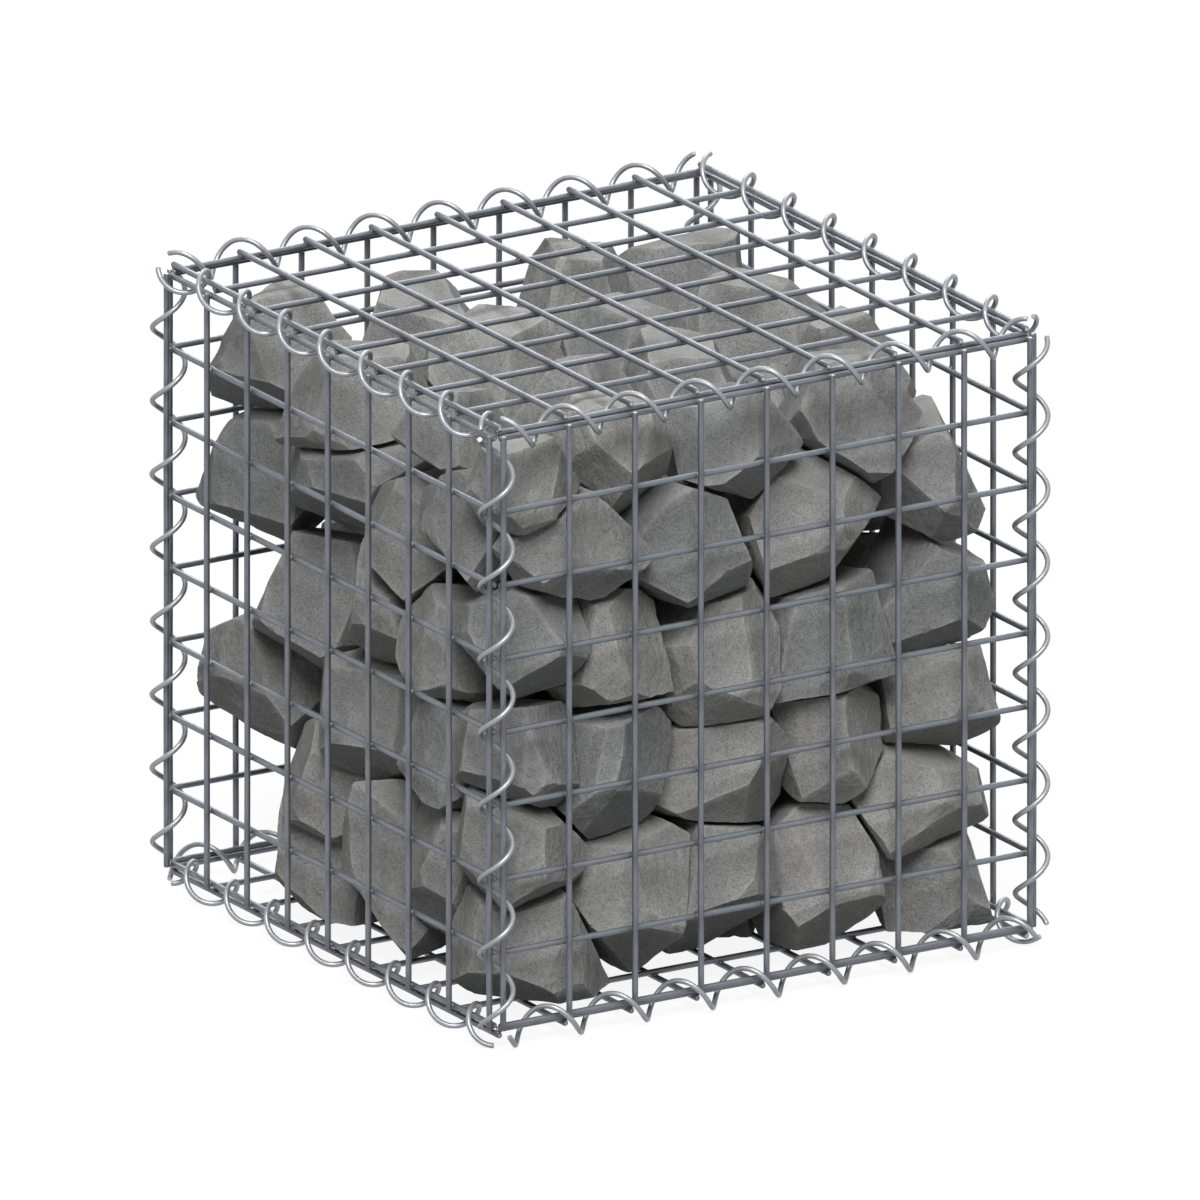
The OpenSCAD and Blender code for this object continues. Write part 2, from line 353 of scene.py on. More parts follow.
def make_stone_material():
    """Grey stone: mottled, grained, paler on its arrises (bruised stone and a painted highlight)
    and on its dusty tops.
    """
    material = bpy.data.materials.new("broken stone")
    material.use_nodes = True
    tree = material.node_tree
    shader = tree.nodes["Principled BSDF"]
    place = add_node(tree, "ShaderNodeTexCoord").outputs["Object"]
    shade = add_node(tree, "ShaderNodeAttribute", attribute_name="shade").outputs["Fac"]
    arris = add_node(tree, "ShaderNodeAttribute", attribute_name="arris").outputs["Fac"]

    mottle = place_group(tree, blotches, {"Place": place, "Size": 0.030, "Contrast": 0.8})
    grains = place_group(tree, grain, {"Place": place, "Size": 0.0010, "Pit amount": 0.6})
    flecks = place_group(tree, grain, {"Place": place, "Size": 0.0022, "Pit amount": 0.25})
    settled = place_group(tree, dust, {"Place": place, "Amount": 0.3, "Start": 0.45})

    ground = mix_colors(tree, mottle["Blotch"], (0.234, 0.234, 0.231, 1.0),
                        (0.298, 0.298, 0.294, 1.0))
    grained = mix_colors(tree, 1.0, ground,
                         mix_colors(tree, grains["Tone"], (0.66, 0.66, 0.66, 1.0),
                                    (1.34, 1.34, 1.33, 1.0)), blend="MULTIPLY")
    toned = mix_colors(tree, 1.0, grained,
                       mix_colors(tree, shade, (0.85, 0.86, 0.88, 1.0), (1.13, 1.12, 1.10, 1.0)),
                       blend="MULTIPLY")
    pitted = mix_colors(tree, grains["Pits"], toned, (0.085, 0.085, 0.083, 1.0))
    flecked = mix_colors(tree, flecks["Pits"], pitted, (0.36, 0.358, 0.350, 1.0))
    # Paler along the arrises: bruised stone, and a painted highlight on each edge.
    bruised_and_highlit = mix_colors(tree, calculate(tree, "MULTIPLY", arris, 0.30), flecked,
                         (0.46, 0.458, 0.445, 1.0))
    dusty = mix_colors(tree, settled["Dust"], bruised_and_highlit, (0.44, 0.435, 0.425, 1.0))
    tree.links.new(dusty, shader.inputs["Base Color"])
    shader.inputs["Roughness"].default_value = 0.93
    shader.inputs["Specular IOR Level"].default_value = 0.25

    # Drawn-out ripples, as the rock's bedding leaves them.
    bedding = add_node(tree, "ShaderNodeMapping", {"Vector": place, "Rotation": (0.4, 0.25, 0.0),
                                                   "Scale": (1.0, 1.0, 0.5)})
    ripples = add_node(tree, "ShaderNodeTexNoise", {"Vector": bedding.outputs[0],
                                                    "Scale": 170.0, "Detail": 4.0,
                                                    "Roughness": 0.6})
    rough = add_node(tree, "ShaderNodeBump", {"Height": grains["Height"], "Strength": 0.8,
                                              "Distance": 0.0009})
    rippled = add_node(tree, "ShaderNodeBump", {"Height": ripples.outputs[0], "Strength": 0.7,
                                                "Distance": 0.0030,
                                                "Normal": rough.outputs[0]})
    tree.links.new(rippled.outputs[0], shader.inputs["Normal"])
    return material


stone_rough = make_stone_material()
print("stone material has", len(stone_rough.node_tree.nodes), "nodes")

# %% [markdown]
# ## From arrays to meshes
# Every new piece is worked out as a numpy array of points, so one function turns such arrays
# into a mesh. Attributes go in with it: numbers that belong to each point, which the materials
# read.

# %% Helper: a mesh from arrays


def make_piece(name, points, faces, material, attributes, sharp_degrees):
    """An object from an (n, 3) array of points and a list of face arrays, each with one row of
    point numbers for each face. Edges that bend more than sharp_degrees stay sharp."""
    mesh = bpy.data.meshes.new(name)
    corners = np.concatenate([array.ravel() for array in faces]).astype(np.int32)
    sizes = np.concatenate([np.full(len(array), array.shape[1]) for array in faces])
    mesh.vertices.add(len(points))
    mesh.vertices.foreach_set("co", points.astype(np.float32).ravel())
    mesh.loops.add(len(corners))
    mesh.loops.foreach_set("vertex_index", corners)
    mesh.polygons.add(len(sizes))
    mesh.polygons.foreach_set("loop_start", (np.cumsum(sizes) - sizes).astype(np.int32))
    mesh.update(calc_edges=True)
    for attribute, values in attributes.items():
        kind, key = ("FLOAT_VECTOR", "vector") if values.ndim == 2 else ("FLOAT", "value")
        layer = mesh.attributes.new(attribute, kind, "POINT")
        layer.data.foreach_set(key, values.astype(np.float32).ravel())
    mesh.shade_smooth()
    mesh.set_sharp_from_angle(angle=math.radians(sharp_degrees))
    mesh.materials.append(material)
    piece = bpy.data.objects.new(name, mesh)
    scene.collection.objects.link(piece)
    return piece


def stand_for(piece, node):
    """piece is shown in the place of a CAD node and moves with the basket."""
    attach(piece, "root")
    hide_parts(node)


def triangle_count(piece):
    """How many triangles a piece has once its faces are split."""
    piece.data.calc_loop_triangles()
    return len(piece.data.loop_triangles)


print("mesh helpers ready")

# %% [markdown]
# ## A wire is a profile carried along a line
# A wire could be a curve object with a bevel, but then its points can't carry attributes. So it
# is a grid: rings of points along the line, closed by a fan at each end. The first and the last
# ring are drawn in a little, because a cut pinches the wire.

# %% Helper: round wires along lines
RING_SIDES = 12
PINCH = 0.86
SHARP_WIRE_ANGLE = 45
# How far apart wires read the noise, in metres, so that no two wires look alike.
WIRE_PLACE_STEP = 7.31
SPIRAL_PLACE_STEP = 3.7


def tube_faces(count, rings, sides):
    """Faces of closed tubes, as quads along their sides and a fan of triangles at either end. The
    points are numbered tube by tube and ring by ring, and after them come two tips a tube."""
    number = np.arange(count * rings * sides).reshape(count, rings, sides)
    turned = np.roll(number, -1, axis=2)
    quads = np.stack([number[:, :-1], turned[:, :-1], turned[:, 1:], number[:, 1:]], axis=3)
    tip = number.size + np.arange(2 * count).reshape(count, 2, 1)
    shape = number[:, 0].shape
    first = np.stack([np.broadcast_to(tip[:, 0], shape), turned[:, 0], number[:, 0]], axis=2)
    last = np.stack([np.broadcast_to(tip[:, 1], shape), number[:, -1], turned[:, -1]], axis=2)
    return [quads.reshape(-1, 4), first.reshape(-1, 3), last.reshape(-1, 3)]


def wires_along(lines, radius, crosswise, cell_marks):
    """Points, faces and attributes of many wires at once.

    lines is (wires, rings, 3), the middle of each wire; crosswise is the same shape and lies
    square to each line. A point of ring i at angle a is
    line[i] + radius * (cos(a) * crosswise[i] + sin(a) * (tangent[i] x crosswise[i]))."""
    wires, rings, _ = lines.shape
    tangent = np.gradient(lines, axis=1)
    tangent /= np.linalg.norm(tangent, axis=2, keepdims=True)
    upward = np.cross(tangent, crosswise)
    angle = np.linspace(0, 2 * math.pi, RING_SIDES, endpoint=False)
    pinch = np.ones(rings)
    pinch[[0, -1]] = PINCH
    ring = (np.cos(angle)[:, None] * crosswise[:, :, None, :]
            + np.sin(angle)[:, None] * upward[:, :, None, :])
    surface = lines[:, :, None, :] + radius * pinch[:, None, None] * ring
    steps = np.linalg.norm(np.diff(lines, axis=1), axis=2)
    along = np.concatenate([np.zeros((wires, 1)), np.cumsum(steps, axis=1)], axis=1)

    # Each wire's own place: along it, and across it, far from every other wire's.
    own_start = np.arange(wires)[:, None] * WIRE_PLACE_STEP
    shape = (wires, rings, RING_SIDES)
    place = np.stack([
        np.broadcast_to((along + own_start)[:, :, None], shape),
        np.broadcast_to(radius * np.cos(angle), shape),
        np.broadcast_to(radius * np.sin(angle), shape),
    ], axis=3)
    weld = np.broadcast_to(cell_marks[:, :, None], shape)
    tips = lines[:, [0, -1]]
    tip_place = place[:, [0, -1]].mean(axis=2)

    points = np.concatenate([surface.reshape(-1, 3), tips.reshape(-1, 3)])
    attributes = {
        "wire_place": np.concatenate([place.reshape(-1, 3), tip_place.reshape(-1, 3)]),
        "weld": np.concatenate([weld.ravel(), np.zeros(2 * wires)]),
        "cut": np.concatenate([np.zeros(weld.size), np.ones(2 * wires)]),
    }
    return points, tube_faces(wires, rings, RING_SIDES), attributes


print("a wire has", RING_SIDES, "sides")

# %% [markdown]
# ## Welded mesh panels
# A panel is two layers of straight wires, welded wherever they cross. Drawn wire is never quite
# straight: each one wanders by about a tenth of a millimetre. Where two wires cross, the weld
# has squeezed out a small collar of metal.

# %% Lay out a panel's wires
RINGS_PER_CELL = 4
WANDER = 0.00012
OUTWARD_WANDER_SHARE = 0.3
JUST_INSIDE = 0.9975
WELD_WIDTH = 0.004


def panel_lines(random, run, across, outward, layer, past_end):
    """The middles of one layer of a panel's wires: nine lines along run, spaced along across."""
    rings = CELLS * RINGS_PER_CELL + 1
    run_place = np.linspace(-HALF - past_end, HALF + past_end, rings)
    # Rings just inside each end, so that only the very end is pinched.
    run_place = np.sort(np.concatenate([run_place, run_place[[0, -1]] * JUST_INSIDE]))
    across_place = np.linspace(-HALF, HALF, CELLS + 1)
    phase = random.uniform(0, 2 * math.pi, (2, CELLS + 1, 1))
    waves = random.uniform(1.2, 2.6, (2, CELLS + 1, 1))
    wander = WANDER * np.sin(waves * math.pi * run_place / HALF + phase)
    lines = (run_place[None, :, None] * run
             + (across_place[:, None, None] + wander[0][:, :, None]) * across
             + (layer + OUTWARD_WANDER_SHARE * wander[1][:, :, None]) * outward)
    # Marks round each crossing, where the wire is painted darker: burnt zinc and painted shade.
    from_crossing = np.abs((run_place + HALF + CELL / 2) % CELL - CELL / 2)
    marks = np.exp(-((from_crossing / WELD_WIDTH) ** 2))
    return MIDDLE + lines, np.broadcast_to(marks, lines.shape[:2])


print("a layer has", CELLS + 1, "wires")

# %% Weld collars
COLLAR_ROWS = 5
COLLAR_SIDES = 10
COLLAR_RADIUS = 0.0023
COLLAR_HEIGHT = 0.0013
COLLAR_LOBE = 0.08
# A collar is painted a little darker than the wire beside it: burnt zinc, and painted shade where
# the wires meet.
COLLAR_BURN_AND_SHADE = 1.3


def weld_collars(random, run, across, outward):
    """A squeezed-out collar at each crossing: a flattened ball, round the point where the two
    layers touch. At height angle h and turn t its points lie at
    radius * cos(h) * (cos(t), sin(t)) and height * sin(h)."""
    height_angle = np.linspace(-math.pi / 2, math.pi / 2, COLLAR_ROWS + 2)[1:-1]
    turn = np.linspace(0, 2 * math.pi, COLLAR_SIDES, endpoint=False)
    spots = np.linspace(-HALF, HALF, CELLS + 1)
    first, second = (grid.ravel() for grid in np.meshgrid(spots, spots))
    count = len(first)
    touch = (first[:, None] * run + second[:, None] * across
             + (INNER_LAYER + OUTER_LAYER) / 2 * outward)
    size = COLLAR_RADIUS * random.uniform(0.88, 1.12, (count, 1, 1))
    lobes = 1 + COLLAR_LOBE * np.sin(2 * turn + random.uniform(0, 6.28, (count, 1, 1)))
    ring = size * lobes * np.cos(height_angle)[:, None]
    body = (touch[:, None, None, :]
            + (ring * np.cos(turn))[..., None] * run
            + (ring * np.sin(turn))[..., None] * across
            + (COLLAR_HEIGHT * np.sin(height_angle))[:, None, None] * outward)
    poles = touch[:, None, :] + np.array([[-COLLAR_HEIGHT], [COLLAR_HEIGHT]]) * outward

    points = MIDDLE + np.concatenate([body.reshape(-1, 3), poles.reshape(-1, 3)])
    attributes = {
        "wire_place": points - MIDDLE,
        "weld": np.full(len(points), COLLAR_BURN_AND_SHADE),
        "cut": np.zeros(len(points)),
    }
    faces = tube_faces(count, COLLAR_ROWS, COLLAR_SIDES)
    if np.dot(np.cross(run, across), outward) < 0:
        faces = [array[:, ::-1] for array in faces]
    return points, faces, attributes


print("a panel has", (CELLS + 1) ** 2, "welds")

# %% Build the six panels


def join_parts(parts):
    """One set of points, faces and attributes from several."""
    starts = np.cumsum([0] + [len(points) for points, _, _ in parts])
    points = np.concatenate([part[0] for part in parts])
    faces = [array + start for part, start in zip(parts, starts) for array in part[1]]
    attributes = {name: np.concatenate([part[2][name] for part in parts])
                  for name in parts[0][2]}
    return points, faces, attributes


X, Y, Z = np.eye(3)
# For each panel: the way its inner wires run, the way its outer wires run, and outwards.
PANELS = {
    "front_panel": (X, Z, -Y, UPRIGHT_END),
    "right_panel": (Y, Z, X, UPRIGHT_END),
    "back_panel": (-X, Z, Y, UPRIGHT_END),
    "left_panel": (-Y, Z, -X, UPRIGHT_END),
    "top_panel": (X, Y, Z, LID_END),
    "bottom_panel": (X, -Y, -Z, LID_END),
}


def build_panel(node, seed):
    """A panel's two layers of wire and its welds, as one piece."""
    run, across, outward, outer_end = PANELS[node]
    random = np.random.default_rng(seed)
    inner, inner_marks = panel_lines(random, run, across, outward, INNER_LAYER, INNER_END)
    outer, outer_marks = panel_lines(random, across, run, outward, OUTER_LAYER, outer_end)
    crosswise = np.broadcast_to(outward, inner.shape)
    parts = [
        wires_along(inner, WIRE_RADIUS, crosswise, inner_marks),
        wires_along(outer, WIRE_RADIUS, crosswise, outer_marks),
        weld_collars(random, run, across, outward),
    ]
    points, faces, attributes = join_parts(parts)
    piece = make_piece(node + "_wires", points, faces, mesh_wire, attributes, SHARP_WIRE_ANGLE)
    stand_for(piece, node)
    return piece


panels = [build_panel(node, seed) for seed, node in enumerate(PANELS)]
print("panels:", {piece.name: triangle_count(piece) for piece in panels})

# %% [markdown]
# ## Spiral binders
# A spiral is screwed through the edges of two panels and laces them together, with one turn in
# each cell. Where each spiral starts differs from edge to edge, so its start angle is measured on
# the frame's own spiral: every point of a helix has the same angle once the turn for its height
# is taken off, so the mean of that angle over all points is the start.

# %% Measure a spiral on the frame


def node_points(node):
    """All points of a CAD node's mesh, as an (n, 3) array."""
    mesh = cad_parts[node].data
    points = np.empty(3 * len(mesh.vertices), np.float32)
    mesh.vertices.foreach_get("co", points)
    return points.reshape(-1, 3).astype(float)


def measure_spiral(node):
    """A spiral's long axis (0, 1 or 2), its middle, and the angle at its low end."""
    low, high = (np.array(corner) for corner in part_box(node))
    axis = int(np.argmax(high - low))
    first, second = (axis + 1) % 3, (axis + 2) % 3
    middle = (low + high) / 2
    middle[axis] = MIDDLE[axis]
    place = node_points(node) - middle
    height = (place[:, axis] + HALF) / CELL
    turn = np.arctan2(place[:, second], place[:, first]) - 2 * math.pi * height
    return axis, middle, np.angle(np.mean(np.exp(1j * turn)))


SPIRALS = sorted(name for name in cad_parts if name.endswith("_spiral"))
for name in SPIRALS:
    print(name, "starts at", round(math.degrees(measure_spiral(name)[2])), "degrees")

# %% Build the twelve spirals
RINGS_PER_TURN = 30
RADIUS_SWAY = 0.00011
PINCHED_TURN = 0.006


def build_spiral(node, seed):
    """A coiled wire: at turn t its middle lies at radius * (cos, sin)(start + 2 pi t) and at
    height cell * t. The radius sways a little, as it does on a coil that was bent cold."""
    axis, middle, start = measure_spiral(node)
    random = np.random.default_rng(100 + seed)
    turn = np.linspace(0, CELLS, CELLS * RINGS_PER_TURN + 1)
    # Rings just inside each end, so that only the very end is pinched.
    turn = np.sort(np.concatenate([turn, [PINCHED_TURN, CELLS - PINCHED_TURN]]))
    angle = start + 2 * math.pi * turn
    sway = np.sin(1.7 * turn + random.uniform(0, 6)) + np.sin(4.3 * turn + random.uniform(0, 6))
    radius = SPIRAL_RADIUS + RADIUS_SWAY * sway
    outward = np.zeros((1, len(turn), 3))
    outward[0, :, (axis + 1) % 3] = np.cos(angle)
    outward[0, :, (axis + 2) % 3] = np.sin(angle)
    line = middle + radius[:, None] * outward
    line[0, :, axis] += CELL * turn - HALF
    marks = np.zeros((1, len(turn)))
    points, faces, attributes = wires_along(line, SPIRAL_WIRE_RADIUS, outward, marks)
    attributes["wire_place"][:, 0] += SPIRAL_PLACE_STEP * seed
    piece = make_piece(node + "_wire", points, faces, spiral_wire, attributes,
                       SHARP_WIRE_ANGLE)
    stand_for(piece, node)
    return piece


spirals = [build_spiral(node, seed) for seed, node in enumerate(SPIRALS)]
print("triangles of a spiral:", triangle_count(spirals[0]))

# %% [markdown]
# ## Stones, one by one
# The frame holds each stone as a convex block with flat faces. Its triangles are loose, so they
# are first joined where their corners meet, and then each connected group is one stone.

# %% Find the stones of a course


def stones_of(node):
    """For each stone in a CAD node, its corners and the planes of its faces, as (corners,
    normals, distances from the world's origin)."""
    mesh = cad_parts[node].data
    mesh.calc_loop_triangles()
    triangles = np.empty(3 * len(mesh.loop_triangles), np.int32)
    mesh.loop_triangles.foreach_get("vertices", triangles)
    rounded = node_points(node).round(6)
    points, joined = np.unique(rounded, axis=0, return_inverse=True)
    triangles = joined.ravel()[triangles].reshape(-1, 3)
    # Each point takes the lowest number among its neighbours until nothing changes.
    label = np.arange(len(points))
    while True:
        lowest = label[triangles].min(axis=1)
        spread = label.copy()
        for corner in range(3):
            np.minimum.at(spread, triangles[:, corner], lowest)
        if np.array_equal(spread, label):
            break
        label = spread
    stones = []
    for stone in np.unique(label[triangles[:, 0]]):
        mine = triangles[label[triangles[:, 0]] == stone]
        a, b, c = (points[mine[:, corner]] for corner in range(3))
        normals = np.cross(b - a, c - a)
        size = np.linalg.norm(normals, axis=1)
        keep = size > 1e-7
        normals = normals[keep] / size[keep][:, None]
        distances = np.einsum("ij,ij->i", normals, a[keep])
        planes = np.column_stack([normals.round(3), distances.round(4)])
        _, first = np.unique(planes, axis=0, return_index=True)
        stones.append((points[np.unique(mine)], normals[first], distances[first]))
    return stones


COURSES = {f"stone_course_{number}": stones_of(f"stone_course_{number}")
           for number in range(1, 6)}
print("stones in each course:", [len(stones) for stones in COURSES.values()])

# %% [markdown]
# ## Broken faces
# A quarry face is never one plane. Some are made of two flatter breaks that tilt a few degrees
# against each other, and here and there a corner has broken off. So some faces of the block are
# cut by one more plane that leans slightly, and each stone gets a small corner cut. A new plane
# is set by how deep it bites below the furthest corner in its direction.

# %% Add breaks to a stone
BROKEN_SHARE = 0.4
BREAK_LEAN = 0.15
LEAST_BITE = 0.0002
MOST_BITE = 0.0035
CORNER_CUTS = 1
LEAST_CORNER_BITE = 0.0005
MOST_CORNER_BITE = 0.0055


def broken_planes(random, corners, normals, distances):
    """The stone's planes, measured from its middle, with the new breaks added."""
    middle = corners.mean(axis=0)
    around = corners - middle
    distances = distances - normals @ middle
    leaning = normals[random.uniform(0, 1, len(normals)) < BROKEN_SHARE]
    leaning = leaning + random.normal(0, BREAK_LEAN, leaning.shape)
    bite = random.uniform(LEAST_BITE, MOST_BITE, len(leaning))
    corner_ways = random.normal(0, 1, (CORNER_CUTS, 3))
    share = random.uniform(0, 1, CORNER_CUTS) ** 2
    corner_bite = LEAST_CORNER_BITE + (MOST_CORNER_BITE - LEAST_CORNER_BITE) * share
    ways = np.concatenate([leaning, corner_ways])
    ways /= np.linalg.norm(ways, axis=1, keepdims=True)
    reach = (ways @ around.T).max(axis=1) - np.concatenate([bite, corner_bite])
    return middle, np.concatenate([normals, ways]), np.concatenate([distances, reach])


print("share of the faces that are broken once more:", BROKEN_SHARE)

# %% [markdown]
# ## A ball of directions
# A stone's surface is a function of direction: from the stone's middle, how far away is the
# nearest plane? Directions on circles of latitude would crowd at the poles, so they come from
# the faces of a cube instead, evenly spread, and joined where the cube's faces meet.

# %% Directions from a cube


def direction_ball(steps):
    """(directions, quads, edges) of a ball made from a cube with steps * steps cells on a face.
    A lattice point at i on a face lies at the angle (i / steps - 1/2) * 90 degrees, so its
    direction is the tangent of that angle."""
    line = np.arange(steps + 1)
    first, second = (grid.ravel() for grid in np.meshgrid(line, line, indexing="ij"))
    corners = np.array([0, 1, steps + 2, steps + 1])
    start = (np.arange(steps)[:, None] * (steps + 1) + np.arange(steps)).reshape(-1, 1)
    lattice, quads = [], []
    for axis in range(3):
        for side in (0, steps):
            face = np.empty((len(first), 3), int)
            face[:, axis] = side
            face[:, (axis + 1) % 3] = first
            face[:, (axis + 2) % 3] = second
            order = corners if side == 0 else corners[::-1]
            quads.append(start + order + len(lattice) * len(first))
            lattice.append(face)
    joined, number = np.unique(np.concatenate(lattice), axis=0, return_inverse=True)
    directions = np.tan((joined / steps - 0.5) * math.pi / 2)
    directions /= np.linalg.norm(directions, axis=1, keepdims=True)
    quads = number.ravel()[np.concatenate(quads)]
    sides = np.stack([quads, np.roll(quads, -1, axis=1)], axis=2).reshape(-1, 2)
    return directions, quads, np.unique(np.sort(sides, axis=1), axis=0)


SHOWN_STEPS = 28
HIDDEN_STEPS = 12
BALLS = {steps: direction_ball(steps) for steps in (SHOWN_STEPS, HIDDEN_STEPS)}
print("a stone that shows has", 2 * len(BALLS[SHOWN_STEPS][1]), "triangles")

# %% [markdown]
# ## Smooth noise
# Roughness needs random values that change smoothly over space. Value noise does that: each
# corner of a lattice of cubes has a random value, and a point blends the eight corners round it.

# %% Helper: value noise
TABLE_SIZE = 32
NOISE_TABLE = np.random.default_rng(7).uniform(-1, 1, (TABLE_SIZE,) * 3)
# A turn of space, so that the lattice doesn't run along the basket's sides.
LATTICE_TURN = np.array([[0.80, 0.36, -0.48], [-0.60, 0.48, -0.64], [0.0, 0.80, 0.60]])
SHIFT_STEP = 5.37


def noise(points, size, shift=0):
    """Values from -1 to 1, with lumps about size metres wide. The blend along each axis is
    3 t^2 - 2 t^3. shift picks another part of the table."""
    lattice = points @ LATTICE_TURN / size + shift * SHIFT_STEP
    cell = np.floor(lattice).astype(int)
    t = lattice - cell
    t = t * t * (3 - 2 * t)
    total = np.zeros(len(points))
    for corner in np.ndindex(2, 2, 2):
        weight = np.prod(np.where(corner, t, 1 - t), axis=1)
        x, y, z = ((cell + corner) % TABLE_SIZE).T
        total += weight * NOISE_TABLE[x, y, z]
    return total


print("noise of three points:", noise(np.eye(3), 0.02).round(2))

# %% [markdown]
# ## The surface of a stone
# From the stone's middle, the distance to the surface along a direction d is the least of
# h / (n . d) over its planes. A plain grid would cut across the arrises and leave teeth along
# them. So where a grid edge crosses an arris, the nearer of its ends slides along the edge onto
# the arris, and each quad is split along the diagonal that lies further out.

# %% Slide grid points onto arrises


def reach_of(directions, normals, distances):
    """Distance to every plane along every direction, without end where it is never met."""
    toward = directions @ normals.T
    return np.where(toward > 1e-4, distances / np.maximum(toward, 1e-4), np.inf)


def slide_to_arrises(directions, edges, normals, distances):
    """Directions moved along the grid's edges onto arrises. With planes i and j at an edge's two
    ends, f(d) = h_i (n_j . d) - h_j (n_i . d) is zero on their arris, so the arris crosses the
    edge at the share f(a) / (f(a) - f(b)) of its length."""
    own = reach_of(directions, normals, distances).argmin(axis=1)
    edges = edges[own[edges[:, 0]] != own[edges[:, 1]]]
    i, j = own[edges].T
    balance = distances[i, None] * normals[j] - distances[j, None] * normals[i]
    first, second = directions[edges[:, 0]], directions[edges[:, 1]]
    at_first = np.einsum("ij,ij->i", balance, first)
    at_second = np.einsum("ij,ij->i", balance, second)
    share = np.clip(at_first / (at_first - at_second), 0, 1)[:, None]
    mover = np.where(share[:, 0] < 0.5, edges[:, 0], edges[:, 1])
    target = first * (1 - share) + second * share
    # The shortest move of each point is written last, so it is the one that stays.
    order = np.argsort(-np.linalg.norm(target - directions[mover], axis=1))
    moved = directions.copy()
    moved[mover[order]] = target[order]
    return moved / np.linalg.norm(moved, axis=1, keepdims=True)


def split_outwards(points, quads):
    """Two triangles for each quad, split along the diagonal whose middle lies further out."""
    a, b, c, d = (points[quads[:, corner]] for corner in range(4))
    first = np.linalg.norm(a + c, axis=1) >= np.linalg.norm(b + d, axis=1)
    one = np.where(first[:, None], quads[:, [0, 1, 2]], quads[:, [0, 1, 3]])
    two = np.where(first[:, None], quads[:, [0, 2, 3]], quads[:, [1, 2, 3]])
    return np.concatenate([one, two])


print("edges of the grid:", len(BALLS[SHOWN_STEPS][2]))

# %% [markdown]
# ## Scallops, hollows and chips
# A blow splits stone in shallow shells, so a broken face is a patchwork of dished scallops that
# meet in low ridges. A displacement texture would need millions of triangles to show them, so
# they are worked out for the points that are there. On top come wide hollows, ripples and chips
# along the arrises. All of them go inwards, so that stones never grow into each other.

# %% Scallops
SCALLOPS = 18
SCALLOP_DEPTH = 0.0016
SCALLOP_REACH = 0.021


def scallops(random, points):
    """Depth of shallow hollows round chance points of the surface. At distance d from the nearest
    of them it is depth * (1 - (d / reach)^2), so that neighbouring hollows meet in a ridge. Space
    is stretched a little first, which draws the hollows out."""
    stretched = points * random.uniform(0.65, 1.35, 3)
    centres = stretched[random.integers(0, len(points), SCALLOPS)]
    squared = ((stretched[:, None, :] - centres) ** 2).sum(axis=2).min(axis=1)
    own_depth = SCALLOP_DEPTH * random.uniform(0.2, 1)
    return own_depth * np.clip(1 - squared / SCALLOP_REACH ** 2, 0, 1)


print("a stone has", SCALLOPS, "scallops")

# %% Stone surface
HOLLOW = 0.0005
HOLLOW_SIZE = 0.034
RIPPLE = 0.0003
RIPPLE_SIZE = 0.011
CHIP = 0.0005
CHIP_SIZE = 0.009
PITTING = 0.00015
PITTING_SIZE = 0.005
ARRIS_WIDTH = 0.0022
FULL_ARRIS_SINE = 0.6


def stone_surface(random, ball, normals, distances, middle):
    """Points and triangles of a stone, and how near each point lies to an arris, from 0 to 1. Two
    faces that meet at an angle whose sine is FULL_ARRIS_SINE or more have a full arris."""
    directions, quads, edges = ball
    directions = slide_to_arrises(directions, edges, normals, distances)
    reach = reach_of(directions, normals, distances)
    points = directions * reach.min(axis=1)[:, None]
    triangles = split_outwards(points, quads)

    gaps = distances - points @ normals.T
    own, other = np.argpartition(gaps, 1, axis=1)[:, :2].T
    cosine = np.einsum("ij,ij->i", normals[own], normals[other])
    sine = np.sqrt(np.maximum(1 - cosine ** 2, 1e-6))
    to_arris = np.maximum(np.take_along_axis(gaps, other[:, None], axis=1)[:, 0], 0) / sine
    arris = np.clip(sine / FULL_ARRIS_SINE, 0, 1) * np.exp(-to_arris / ARRIS_WIDTH)
    world = points + middle
    hollow = HOLLOW * (1 + noise(world, HOLLOW_SIZE))
    hollow += RIPPLE * (1 + noise(world, RIPPLE_SIZE, 1))
    chips = CHIP * arris * np.clip(0.3 + 1.5 * noise(world, CHIP_SIZE, 2), 0.05, 1.6)
    pitting = PITTING * noise(world, PITTING_SIZE, 3)
    depth = hollow + scallops(random, points) + chips + pitting
    return world - directions * depth[:, None], triangles, arris


print("faces are hollowed by up to", round(2000 * (HOLLOW + RIPPLE), 1), "mm")

# %% Build the five courses
HIDDEN_DEPTH = 0.105
SHARP_STONE_ANGLE = 13


def build_course(node, stones, seed):
    """All the stones of a course, as one piece of separate closed shells."""
    parts = []
    for number, (corners, normals, distances) in enumerate(stones):
        random = np.random.default_rng([seed, number])
        middle, normals, distances = broken_planes(random, corners, normals, distances)
        buried = np.abs(middle - MIDDLE).max() < HALF - HIDDEN_DEPTH
        ball = BALLS[HIDDEN_STEPS if buried else SHOWN_STEPS]
        points, triangles, arris = stone_surface(random, ball, normals, distances, middle)
        shade = np.full(len(points), random.uniform(0, 1))
        parts.append((points, [triangles], {"arris": arris, "shade": shade}))
    points, faces, attributes = join_parts(parts)
    piece = make_piece(node + "_rough", points, faces, stone_rough, attributes,
                       SHARP_STONE_ANGLE)
    stand_for(piece, node)
    return piece


courses = [build_course(node, stones, seed) for seed, (node, stones) in enumerate(COURSES.items())]
print("courses:", {piece.name: triangle_count(piece) for piece in courses})

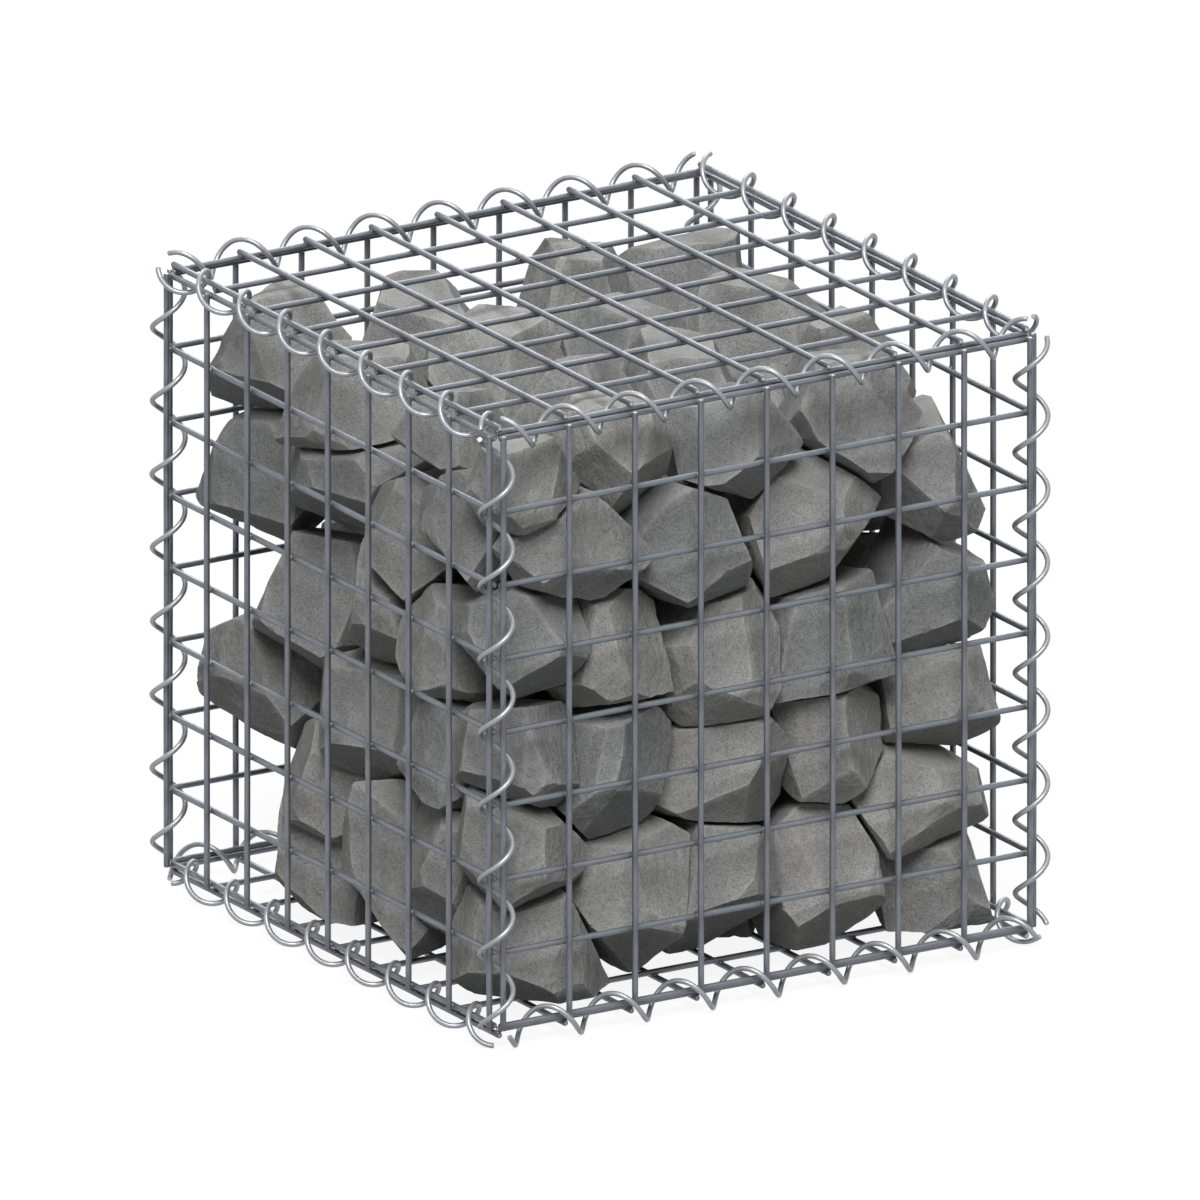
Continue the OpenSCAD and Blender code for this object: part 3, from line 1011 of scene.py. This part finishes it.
# %% [markdown]
# ## Floor, lights and world
# The basket stands on a plain white floor in a white studio. The floor and the world show white
# by themselves, so no lamp has to be turned up for it. A white floor would also light every
# underside from below and flatten the stones, so it throws back only a little light. A large soft
# key lamp shines from the upper left in front, a weaker one behind brightens the lid's wires and
# the far stones, and the world fills the shadows.

# %% Floor
FLOOR_SIZE = 12.0
FLOOR_GLOW = 0.90
BOUNCE = 0.20


def make_floor():
    """A floor that shows white, keeps the shadow and throws back only a share of the light."""
    material = bpy.data.materials.new("white floor")
    material.use_nodes = True
    tree = material.node_tree
    tree.nodes.clear()
    out = tree.nodes.new("ShaderNodeOutputMaterial")
    ray = add_node(tree, "ShaderNodeLightPath").outputs
    seen = calculate(tree, "MAXIMUM", ray["Is Camera Ray"], ray["Is Glossy Ray"])
    colour = mix_colors(tree, seen, (BOUNCE, BOUNCE, BOUNCE, 1.0), (1.0, 1.0, 1.0, 1.0))
    plain = add_node(tree, "ShaderNodeBsdfDiffuse", {"Color": colour})
    glow = add_node(tree, "ShaderNodeEmission", {"Color": (1.0, 1.0, 1.0, 1.0),
                                                 "Strength": 1.0})
    share = calculate(tree, "MULTIPLY", seen, FLOOR_GLOW)
    mixed = add_node(tree, "ShaderNodeMixShader", {0: share, 1: plain.outputs[0],
                                                   2: glow.outputs[0]})
    tree.links.new(mixed.outputs[0], out.inputs[0])
    mesh = bpy.data.meshes.new("floor")
    reach = FLOOR_SIZE / 2
    mesh.from_pydata([(-reach, -reach, 0), (reach, -reach, 0), (reach, reach, 0),
                      (-reach, reach, 0)], [], [(0, 1, 2, 3)])
    mesh.materials.append(material)
    floor = bpy.data.objects.new("floor", mesh)
    scene.collection.objects.link(floor)
    floor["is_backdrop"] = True
    return floor


floor = make_floor()
print("floor is", FLOOR_SIZE, "m wide")

# %% Lights and world
WORLD_FILL = 0.21


def add_lamp(name, direction, strength, spread_degrees):
    """A sun lamp that shines from direction, as wide and soft as spread_degrees."""
    lamp = bpy.data.lights.new(name, "SUN")
    lamp.energy = strength
    lamp.angle = math.radians(spread_degrees)
    holder = bpy.data.objects.new(name, lamp)
    holder.rotation_euler = Vector(direction).to_track_quat("Z", "Y").to_euler()
    scene.collection.objects.link(holder)


add_lamp("key", (-0.42, -0.58, 0.92), 3.5, 32)
add_lamp("back", (0.45, 0.75, 0.70), 1.8, 50)

world = bpy.data.worlds.new("studio")
scene.world = world
world.use_nodes = True
tree = world.node_tree
background = tree.nodes["Background"]
background.inputs["Color"].default_value = (1.0, 1.0, 1.0, 1.0)
ray = add_node(tree, "ShaderNodeLightPath").outputs
shown = calculate(tree, "MAXIMUM", ray["Is Camera Ray"],
                  calculate(tree, "MAXIMUM", ray["Is Glossy Ray"], ray["Is Transmission Ray"]))
tree.links.new(calculate(tree, "MULTIPLY_ADD", shown, 1 - WORLD_FILL, WORLD_FILL),
               background.inputs["Strength"])
scene.view_settings.view_transform = "Standard"
print("lamps:", [item.name for item in bpy.data.lights])

# %% [markdown]
# ## Check and finish
# The visual model has to keep the size of the frame, so the frame's box is printed at the start
# and here how far each side of the visual box lies from it.

# %% Write the sizes and finish
visual_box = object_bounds()
growth = [round(1000 * (visual - cad), 2) for visual_corner, cad_corner in zip(visual_box, cad_box)
          for visual, cad in zip(visual_corner, cad_corner)]
print("visual box less frame box, mm:", growth)
print("triangles in all:", sum(triangle_count(piece) for piece in panels + spirals + courses))
